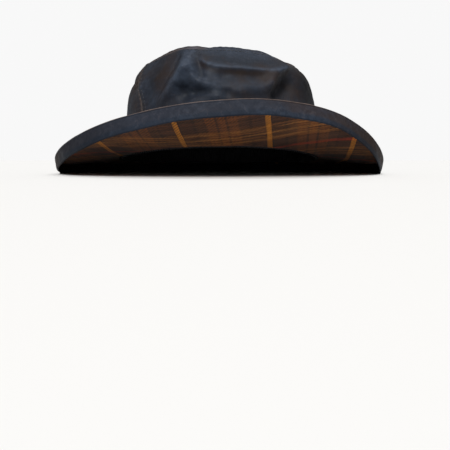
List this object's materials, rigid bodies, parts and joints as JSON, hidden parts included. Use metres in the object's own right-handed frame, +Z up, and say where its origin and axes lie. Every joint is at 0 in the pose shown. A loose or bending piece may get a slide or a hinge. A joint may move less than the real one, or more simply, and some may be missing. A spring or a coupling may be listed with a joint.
{
  "type": "waxed hat",
  "caption": "Wide-brimmed waxed cotton hat with a dented soft crown, a turned-down brim lip and a tartan facing under the brim, resting on its brim with the front swept up.",
  "frame": {"origin": "on the surface the hat rests on, under the middle of its bounding box", "axes": "+Z up from the surface to the crown, -Y towards the hat's front, +X towards the wearer's left"},
  "size_m": [0.318, 0.3283, 0.1128],
  "materials": {
    "waxed_cotton": "dark navy waxed cotton with a dull sheen, browner where the wax has worn",
    "tartan_facing": "matt woven cotton in a brown, ochre and red tartan",
    "head_band": "near-black woven band with a faint sheen"
  },
  "bodies": {
    "root": {"crown_front": "waxed_cotton", "crown_back": "waxed_cotton", "crown_tip": "waxed_cotton", "brim_top": "waxed_cotton", "brim_edge": "waxed_cotton", "brim_underside": "tartan_facing", "head_band": "head_band"}
  },
  "joints": []
}
